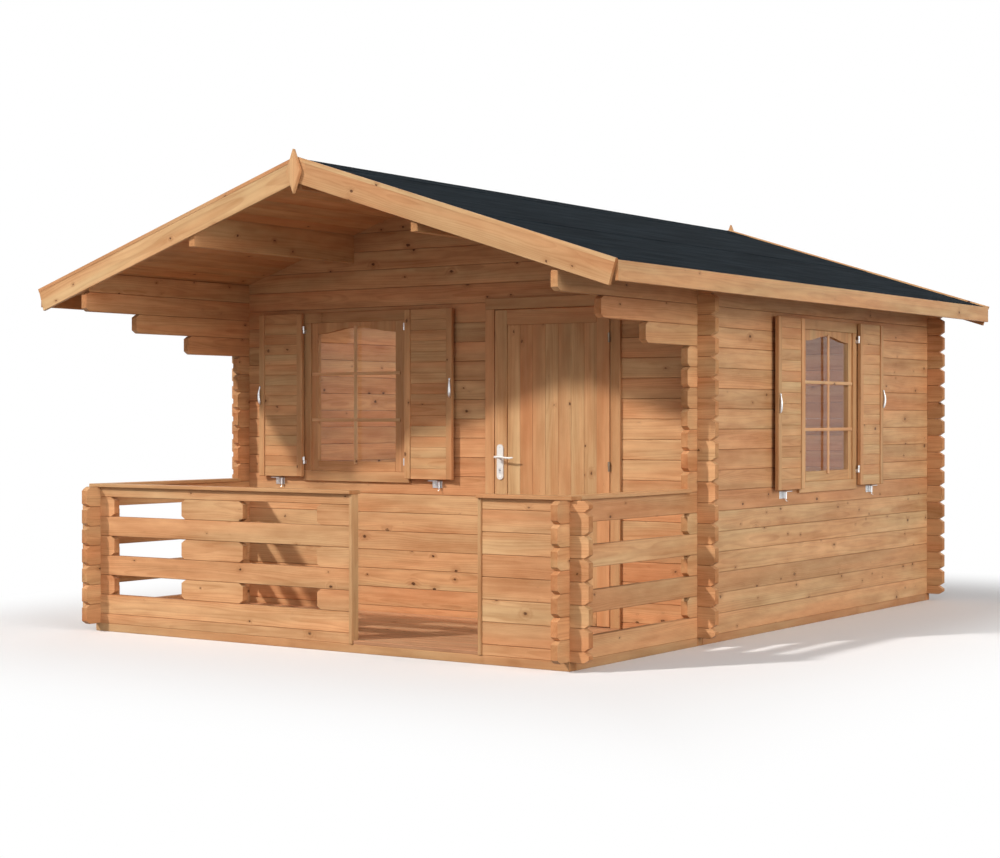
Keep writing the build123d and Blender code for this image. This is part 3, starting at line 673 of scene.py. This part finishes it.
def make_screw_set():
    """A screw on every point, turned to the way that the point faces and round its own axis by chance."""
    tree = bpy.data.node_groups.new("screw_set", "GeometryNodeTree")
    sockets(tree, "INPUT", (("Geometry", "Geometry"), ("Screw", "Object"), ("Seed", "Int"),
                            ("Finish", "Material")))
    sockets(tree, "OUTPUT", (("Geometry", "Geometry"),))
    come = tree.nodes.new("NodeGroupInput").outputs
    facing = add(tree, "GeometryNodeInputNamedAttribute", {"Name": "facing"}, data_type="FLOAT_VECTOR")
    aim = add(tree, "FunctionNodeAlignRotationToVector", {"Vector": facing.outputs[0]}, axis="Z")
    luck = add(tree, "FunctionNodeRandomValue", {"Seed": come["Seed"]}, data_type="FLOAT")
    spin = add(tree, "FunctionNodeAxisAngleToRotation", {"Axis": (0, 0, 1)})
    wide = add(tree, "ShaderNodeMath", {0: luck.outputs["Value"], 1: 2 * math.pi}, operation="MULTIPLY")
    tree.links.new(wide.outputs[0], spin.inputs["Angle"])
    turned = add(tree, "FunctionNodeRotateRotation", {0: aim.outputs[0], 1: spin.outputs[0]},
                 rotation_space="LOCAL")
    screw = add(tree, "GeometryNodeObjectInfo", {"Object": come["Screw"]})
    spread = add(tree, "GeometryNodeInstanceOnPoints", {
        "Points": come["Geometry"], "Instance": screw.outputs["Geometry"], "Rotation": turned.outputs[0]})
    whole = add(tree, "GeometryNodeRealizeInstances", {0: spread.outputs[0]})
    dressed = add(tree, "GeometryNodeSetMaterial", {
        "Geometry": whole.outputs[0], "Material": come["Finish"]})
    add(tree, "NodeGroupOutput", {0: dressed.outputs[0]})
    return tree


screw_set = make_screw_set()


def screws(name, spots, radius, seed):
    """Round-headed screws with a socket, each given as a place and the way it faces."""
    work = bmesh.new()
    sides = 12
    shape = ((1.0, 0), (1.0, 0.2), (0.8, 0.45), (0.48, 0.55), (0.44, 0.25))
    rings = [[work.verts.new((radius * share * math.cos(2 * math.pi * step / sides),
                              radius * share * math.sin(2 * math.pi * step / sides), radius * rise))
              for step in range(sides)] for share, rise in shape]
    for near, far in zip(rings, rings[1:]):
        for one in range(sides):
            other = (one + 1) % sides
            work.faces.new((near[one], near[other], far[other], far[one]))
    work.faces.new(rings[-1])
    screw = placed("first_screw", work)
    ground = bpy.data.meshes.new("spots")
    ground.from_pydata([spot for spot, facing in spots], [], [])
    ways = ground.attributes.new("facing", "FLOAT_VECTOR", "POINT")
    for item, (spot, facing) in zip(ways.data, spots):
        item.vector = facing
    mesh = grown(screw_set, ground, Screw=screw, Seed=seed, Finish=zinc)
    bpy.data.objects.remove(screw)
    return placed(name, mesh)


plate_screw_inset = 0.018
plate_screw_radius = 0.0038
spots = []
for height in (plates_low.z + plate_screw_inset, plates_high.z - plate_screw_inset):
    spots.append(((spindle.x, plates_low.y, height), (0, -1, 0)))
    spots.append(((spindle.x, plates_high.y, height), (0, 1, 0)))
fix(screws("door_plate_screws", spots, plate_screw_radius, 78), zinc, "hardware", "door")

# Door hinges
# Lift-off hinges of browned steel: a pin on the casing and an eye on the leaf, each screwed in behind
# its own barrel.
barrel_radius = 0.006
iron_ease = 0.0006
half_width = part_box("right_wall")[1].x
joints = frame["record"]["behaviour"]["joints"]
axes = [Vector(joint["pos_m"]) for joint in joints if "swing" in joint["name"]]
browned = bpy.data.materials.new("browned_steel")
browned.use_nodes = True
tree = browned.node_tree
shader = tree.nodes["Principled BSDF"]
spot = add(tree, "ShaderNodeTexCoord").outputs["Object"]
wear = add(tree, "ShaderNodeTexNoise", {"Vector": spot, "Scale": 180.0, "Detail": 3.0}).outputs[0]
dark = mingle(tree, wear, (0.17, 0.125, 0.085, 1), (0.29, 0.225, 0.165, 1))
tree.links.new(dark, shader.inputs["Base Color"])
tree.links.new(reckon(tree, "ADD", reckon(tree, "MULTIPLY", wear, 0.2), 0.35), shader.inputs["Roughness"])
shader.inputs["Metallic"].default_value = 1.0


def barrels(node):
    """The node's hinges, with the parts that hold them in the wood drawn in behind the barrels."""
    work = copy_of(node, iron_ease)
    for solid in islands(work):
        middle = sum((vert.co for vert in solid), Vector()) / len(solid)
        pin = min(axes, key=lambda axis: (axis.xy - middle.xy).length)
        along = 1 if pin.x > half_width else 0
        for vert in solid:
            away = vert.co[along] - pin[along]
            vert.co[along] = pin[along] + min(max(away, -barrel_radius), barrel_radius)
    return placed(node + "_barrels", work)


for node, body in (("door_hinge_pins", "cabin"), ("door_hinge_eyes", "door")):
    fix(barrels(node), browned, "hardware", body, node)

# Windows
# A casing that grips the logs, one sash with an ogee head and a single pane, and a grille of thin bars
# planted on its face, in the front wall and, half a log lower, in the right wall.
for seed, node in enumerate(("window_jambs", "window_rails")):
    fix(timbers(node + "_trim", copy_of(node, casing_ease), 80 + seed), trim_pine, "trim_wood", "cabin", node)
front_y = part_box("front_wall")[0].y
shutter_low, shutter_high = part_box("front_left_shutter")
window_middle = (shutter_high.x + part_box("front_right_shutter")[0].x) / 2
side_middle = (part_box("side_front_shutter")[1].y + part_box("side_back_shutter")[0].y) / 2
side_drop = shutter_low.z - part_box("side_front_shutter")[0].z
front_place = Matrix.Translation((window_middle, front_y, 0))
side_place = Matrix.Translation((half_width, side_middle, -side_drop))
side_place = side_place @ Matrix.Rotation(math.radians(90), 4, "Z")
sash_low, sash_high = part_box("window_sashes")
sash_half = window_middle - sash_low.x
sash_face = sash_low.y - front_y
sash_thick = 0.034
sash_back = sash_face + sash_thick
sash_bottom = sash_low.z + side_drop
sash_top = sash_high.z
sash_ease = 0.002
sash_stile = 0.048
sash_rail = 0.061
sash_head = 0.031
sash_ogee = 0.036
ogee_steps = 32
bar_heights = (1.236, 1.522)
bar_width = 0.02
upright_bar_width = 0.026
bar_proud = 0.009
bar_lap = 0.02
bar_inset = 0.006
bar_step = 0.0004
bar_ease = 0.003
light_half = sash_half - sash_stile


def ogee_head(work, turned):
    """The head rail between the stiles, its lower edge high in the middle and level at both ends."""
    rings = []
    for step in range(ogee_steps + 1):
        x = light_half * (2 * step / ogee_steps - 1)
        drop = sash_head + sash_ogee * (1 - math.cos(math.pi * x / light_half)) / 2
        edge = sash_top - drop
        corners = ((sash_face, edge), (sash_back, edge), (sash_back, sash_top), (sash_face, sash_top))
        rings.append([work.verts.new(turned @ Vector((x, y, z))) for y, z in corners])
    faces = [work.faces.new(rings[0]), work.faces.new(rings[-1])]
    for near, far in zip(rings, rings[1:]):
        for one in range(4):
            other = (one + 1) % 4
            faces.append(work.faces.new((near[one], near[other], far[other], far[one])))
    bmesh.ops.recalc_face_normals(work, faces=faces)


sashes = bmesh.new()
bars = bmesh.new()
for turned in (front_place, side_place):
    beam(sashes, (-sash_half, sash_face, sash_bottom), (-light_half, sash_back, sash_top), sash_ease, turned)
    beam(sashes, (light_half, sash_face, sash_bottom), (sash_half, sash_back, sash_top), sash_ease, turned)
    beam(sashes, (-light_half, sash_face, sash_bottom), (light_half, sash_back, sash_bottom + sash_rail),
         sash_ease, turned)
    ogee_head(sashes, turned)
    for height in bar_heights:
        beam(bars, (-sash_half + bar_inset, sash_face - bar_proud, height - bar_width / 2),
             (sash_half - bar_inset, sash_face, height + bar_width / 2), bar_ease, turned)
    beam(bars, (-upright_bar_width / 2, sash_face - bar_proud + bar_step, sash_bottom + sash_rail - bar_lap),
         (upright_bar_width / 2, sash_face, sash_top - sash_head + bar_lap / 2), bar_ease, turned)
fix(timbers("window_sashes_trim", sashes, 83), trim_pine, "trim_wood", "cabin", "window_sashes")
# The bars take a paler copy of the trim pine: painted light, standing in for the brighter look that light and
# reflection in the glass give them.
bar_pine_painted_light = pine("bar_pine_painted_light", (0.74, 0.49, 0.29), (0.58, 0.33, 0.165), knots=0.1, joint=0.05)
fix(timbers("window_bars", bars, 84), bar_pine_painted_light, "trim_wood", "cabin")
pane = bpy.data.materials.new("clear_pane")
pane.use_nodes = True
tree = pane.node_tree
shader = tree.nodes["Principled BSDF"]
spot = add(tree, "ShaderNodeTexCoord").outputs["Object"]
ripple = add(tree, "ShaderNodeTexNoise", {"Vector": spot, "Scale": 5.0, "Detail": 1.0}).outputs[0]
wavy = add(tree, "ShaderNodeBump", {"Height": ripple, "Strength": 0.05, "Distance": 0.002})
tree.links.new(wavy.outputs["Normal"], shader.inputs["Normal"])
shader.inputs["Base Color"].default_value = (0.93, 0.95, 0.95, 1)
shader.inputs["Roughness"].default_value = 0.02
shader.inputs["IOR"].default_value = 1.24
shader.inputs["Transmission Weight"].default_value = 1.0
frame["nodes"]["window_glass"].material_slots[0].material = pane

# Shutters
# Two stiles with lying boards let in between them, hung on lift-off hinges, with a curved latch on the
# free stile and a hold-back plate on the wall below.
shutter_stile = 0.042
shutter_recess = 0.007
shutter_boards = 16
shutter_ease = 0.0025
shutter_board_ease = 0.002
latch_rise = 0.118
latch_from_edge = 0.012
right_latch_raise = 0.036
latch_stand = 0.004
latch_bow = 0.009
latch_side_bow = 0.005
latch_flat = 0.8
latch_shape = ((0.0, 0.0012), (0.015, 0.0048), (0.05, 0.0066), (0.085, 0.0055), (0.11, 0.0042),
               (0.16, 0.0047), (0.3, 0.0066), (0.45, 0.008), (0.6, 0.009), (0.75, 0.0095), (0.87, 0.0088),
               (0.95, 0.0064), (0.99, 0.003), (1.0, 0.001))
hold_from_edge = 0.137
hold_width = 0.07
hold_height = 0.046
hold_radius = 0.0065
hold_ease = 0.0008
hold_drop = 0.01
catch_out = 0.016
catch_shape = ((0, 0.6), (0.06, 1), (0.5, 1), (0.94, 1), (1, 0.6))
hook_shape = ((0, -0.014, -0.004, 0.0026), (0.001, -0.016, 0.006, 0.0026),
              (0.003, -0.022, 0.012, 0.0024), (0.004, -0.028, 0.010, 0.002))
hold_screw_out = 0.004
hold_screw_radius = 0.004
near = shutter_high.x - window_middle
far = shutter_low.x - window_middle
face = shutter_low.y - front_y
back = shutter_high.y - front_y
latch_height = (shutter_low.z + shutter_high.z) / 2
board_pitch = (shutter_high.z - shutter_low.z) / shutter_boards
leaves = (("front_left", -1, front_place), ("front_right", 1, front_place),
          ("side_front", -1, side_place), ("side_back", 1, side_place))
for seed, (name, side, turned) in enumerate(leaves):
    node = name + "_shutter"
    left, right = sorted((side * abs(near), side * abs(far)))
    work = bmesh.new()
    for start, end in ((left, left + shutter_stile), (right - shutter_stile, right)):
        beam(work, (start, face, shutter_low.z), (end, back, shutter_high.z), shutter_ease, turned)
    fix(timbers(node + "_stiles", work, 90 + seed), trim_pine, "trim_wood", node, node)
    work = bmesh.new()
    beam(work, (left + shutter_stile, face + shutter_recess, shutter_low.z),
         (right - shutter_stile, back, shutter_low.z + board_pitch - board_gap), shutter_board_ease, turned)
    boards = row_of(node + "_boards", work, shutter_boards, (0, 0, board_pitch), 94 + seed, trim_pine)
    fix(boards, trim_pine, "trim_wood", node)
    work = copy_of(node + "_iron", iron_ease)
    for solid in islands(work):
        heights = [vert.co.z for vert in solid]
        if max(heights) - min(heights) > latch_rise / 2:
            bmesh.ops.delete(work, geom=solid, context="VERTS")
    free = side * (abs(far) - latch_from_edge)
    top = latch_height + max(side, 0) * right_latch_raise + latch_rise / 2
    points = []
    for share, radius in latch_shape:
        bow = math.sin(math.pi * share)
        points.append(turned @ Vector((free + side * latch_side_bow * bow,
                                       face - latch_stand - latch_bow * bow, top - latch_rise * share)))
    swept(work, points, [radius for share, radius in latch_shape], latch_flat)
    fix(placed(node + "_latch", work), zinc, "hardware", node, node + "_iron")
fix(barrels("shutter_hinge_pins"), zinc, "hardware", "cabin", "shutter_hinge_pins")
work = copy_of("shutter_hold_backs", hold_ease)
spots = []
for name, side, turned in leaves:
    middle = side * (abs(far) - hold_from_edge)
    top = shutter_low.z - hold_drop
    catch = middle + hold_width / 2 - 2 * hold_radius
    points = [turned @ Vector((catch, -catch_out, top - hold_height * share)) for share, thick in catch_shape]
    swept(work, points, [hold_radius * thick for share, thick in catch_shape])
    points = [turned @ Vector((catch + x, y, top - hold_height - drop)) for x, y, drop, radius in hook_shape]
    swept(work, points, [radius for x, y, drop, radius in hook_shape], sides=10)
    for x in (middle - hold_width / 3, middle):
        spot = turned @ Vector((x, -hold_screw_out, top - hold_height / 2))
        spots.append((spot, turned.to_3x3() @ Vector((0, -1, 0))))
fix(placed("shutter_hold_backs_steel", work), zinc, "hardware", "cabin", "shutter_hold_backs")
fix(screws("hold_back_screws", spots, hold_screw_radius, 99), zinc, "hardware", "cabin")

# Floor, light and camera
# A pale floor, clear from below, that fades into a white background, a soft key from the front left, broad
# low fills from the right, the front and the back, a lamp in the room, and a camera at eye height before
# the right front corner.
floor_radius = 60.0
fade_start = 1.05
fade_end = 1.9
floor_paint = bpy.data.materials.new("pale_floor")
floor_paint.use_nodes = True
tree = floor_paint.node_tree
tree.nodes.remove(tree.nodes["Principled BSDF"])
path = add(tree, "ShaderNodeLightPath").outputs
shown = reckon(tree, "MAXIMUM", path["Is Camera Ray"], path["Is Glossy Ray"])
shown = reckon(tree, "MAXIMUM", shown, path["Is Transmission Ray"])
paint = mingle(tree, shown, (0.3, 0.3, 0.3, 1), (0.92, 0.92, 0.92, 1))
matte = add(tree, "ShaderNodeBsdfDiffuse", {"Color": paint})
white = add(tree, "ShaderNodeEmission", {"Color": (1, 1, 1, 1), "Strength": 1.0})
spot = add(tree, "ShaderNodeSeparateXYZ", {0: add(tree, "ShaderNodeTexCoord").outputs["Object"]}).outputs
away = reckon(tree, "MAXIMUM", reckon(tree, "DIVIDE", reckon(tree, "ABSOLUTE", spot[0]), cad_high.x),
              reckon(tree, "DIVIDE", reckon(tree, "ABSOLUTE", spot[1]), cad_high.y))
fade = reckon(tree, "MULTIPLY", ease(tree, away, fade_start, fade_end), shown)
both = add(tree, "ShaderNodeMixShader", {0: fade, 1: matte.outputs[0], 2: white.outputs[0]})
below = add(tree, "ShaderNodeNewGeometry").outputs["Backfacing"]
clear = add(tree, "ShaderNodeBsdfTransparent")
sided = add(tree, "ShaderNodeMixShader", {0: below, 1: both.outputs[0], 2: clear.outputs[0]})
tree.links.new(sided.outputs[0], tree.nodes["Material Output"].inputs["Surface"])
work = bmesh.new()
bmesh.ops.create_circle(work, cap_ends=True, radius=floor_radius, segments=96)
floor = placed("floor", work)
floor.data.materials.append(floor_paint)
floor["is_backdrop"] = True

world = bpy.data.worlds.new("studio")
bpy.context.scene.world = world
world.use_nodes = True
tree = world.node_tree
path = add(tree, "ShaderNodeLightPath").outputs
shown = reckon(tree, "MAXIMUM", path["Is Camera Ray"], path["Is Glossy Ray"])
shown = reckon(tree, "MAXIMUM", shown, path["Is Transmission Ray"])
sky = add(tree, "ShaderNodeBackground", {"Color": (0.95, 0.97, 1.0, 1), "Strength": 0.24})
bright = add(tree, "ShaderNodeBackground", {"Color": (1, 1, 1, 1), "Strength": 1.0})
both = add(tree, "ShaderNodeMixShader", {0: shown, 1: sky.outputs[0], 2: bright.outputs[0]})
tree.links.new(both.outputs[0], tree.nodes["World Output"].inputs["Surface"])


def sun(name, travel, strength, spread, color):
    """A far light that shines along a direction."""
    lamp = bpy.data.lights.new(name, "SUN")
    lamp.energy = strength
    lamp.angle = math.radians(spread)
    lamp.color = color
    holder = bpy.data.objects.new(name, lamp)
    holder.rotation_euler = Vector(travel).to_track_quat("-Z", "Y").to_euler()
    bpy.context.scene.collection.objects.link(holder)


sun("key", (0.448, 0.719, -0.532), 2.58, 3.2, (1.0, 0.95, 0.91))
sun("fill", (-0.95, 0.2, -0.24), 2.15, 45.0, (1.0, 0.98, 0.96))
sun("front", (-0.22, 0.86, -0.42), 0.8, 70.0, (0.96, 1.0, 1.06))
sun("back", (0.15, -0.93, -0.33), 0.6, 60.0, (1.0, 0.98, 0.96))
lamp_shift = 0.16
lamp_height = 2.12
room_lamp = bpy.data.lights.new("room_lamp", "AREA")
room_lamp.size = 1.6
room_lamp.energy = 33.0
room_lamp.color = (0.93, 0.905, 0.87)
room_holder = bpy.data.objects.new("room_lamp", room_lamp)
room_holder.location = (-lamp_shift, (room_low.y + room_high.y) / 2 - lamp_shift, lamp_height)
bpy.context.scene.collection.objects.link(room_holder)

image_width = 1000
focal_pixels = 1941.0
camera = bpy.data.cameras.new("camera")
camera.sensor_width = 36.0
camera.lens = focal_pixels * camera.sensor_width / image_width
camera.shift_x = 0.0031
camera.shift_y = 0.0021
camera.clip_end = 200.0
viewer = bpy.data.objects.new("camera", camera)
viewer.location = (6.7704, -10.3977, 1.2519)
camera_pitch = -0.402
camera_yaw = 34.593
viewer.rotation_euler = (math.radians(90 + camera_pitch), 0, math.radians(camera_yaw))
bpy.context.scene.collection.objects.link(viewer)
bpy.context.scene.camera = viewer
bpy.context.scene.view_settings.view_transform = "Standard"

low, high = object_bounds()
